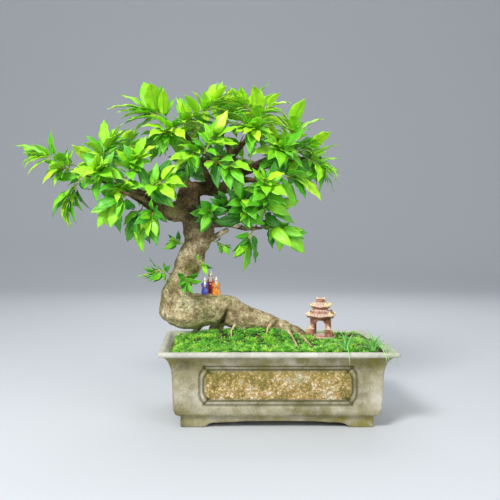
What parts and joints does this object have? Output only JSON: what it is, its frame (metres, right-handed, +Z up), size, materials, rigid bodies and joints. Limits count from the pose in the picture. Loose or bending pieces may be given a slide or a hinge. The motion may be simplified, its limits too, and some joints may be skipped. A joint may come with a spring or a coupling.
{
  "type": "potted fig bonsai",
  "caption": "Leaning bonsai fig on a thick sloping trunk, planted in a footed rectangular stone pot with a clay pavilion, glazed figures and a grass tuft.",
  "frame": {"origin": "middle of the whole object's box in plan, on the surface that the pot's feet stand on", "axes": "+Z up, +X along the pot's front to its right end (the tree leans over the left end), +Y from the front to the back"},
  "size_m": [1.0094, 0.483, 0.9317],
  "materials": {
    "cast_stone": "matt cast stone, weathered and algae-stained",
    "soil": "damp dark baked-clay potting soil",
    "bark": "grey-brown bark, matt",
    "leaf": "glossy leathery leaf",
    "fired_clay": "unglazed fired clay, matt",
    "blue_glaze": "blue gloss glaze",
    "red_glaze": "red gloss glaze",
    "orange_glaze": "orange gloss glaze",
    "grass": "soft green grass blade"
  },
  "bodies": {
    "root": {"pot": "cast_stone", "soil": "soil", "trunk": "bark", "pavilion": "fired_clay", "figure_blue": "blue_glaze", "figure_red": "red_glaze", "figure_orange": "orange_glaze", "grass_tuft": "grass", "spray_01": "leaf", "spray_02": "leaf", "spray_03": "leaf", "spray_04": "leaf", "spray_05": "leaf", "spray_06": "leaf", "spray_07": "leaf", "spray_08": "leaf", "spray_09": "leaf", "spray_10": "leaf", "spray_11": "leaf", "spray_12": "leaf", "spray_13": "leaf", "spray_14": "leaf", "spray_15": "leaf", "spray_16": "leaf", "spray_17": "leaf", "spray_18": "leaf", "spray_19": "leaf", "spray_20": "leaf", "spray_21": "leaf", "spray_22": "leaf", "spray_23": "leaf", "spray_24": "leaf", "spray_25": "leaf", "spray_26": "leaf", "spray_27": "leaf", "spray_28": "leaf", "spray_29": "leaf", "spray_30": "leaf", "spray_31": "leaf", "spray_32": "leaf", "spray_33": "leaf", "spray_34": "leaf", "spray_35": "leaf", "spray_36": "leaf", "spray_37": "leaf", "spray_38": "leaf", "spray_39": "leaf", "spray_40": "leaf", "spray_41": "leaf", "spray_42": "leaf", "spray_43": "leaf", "spray_44": "leaf", "spray_45": "leaf", "spray_46": "leaf", "spray_47": "leaf", "spray_48": "leaf", "spray_49": "leaf", "spray_50": "leaf", "spray_51": "leaf"}
  },
  "joints": []
}
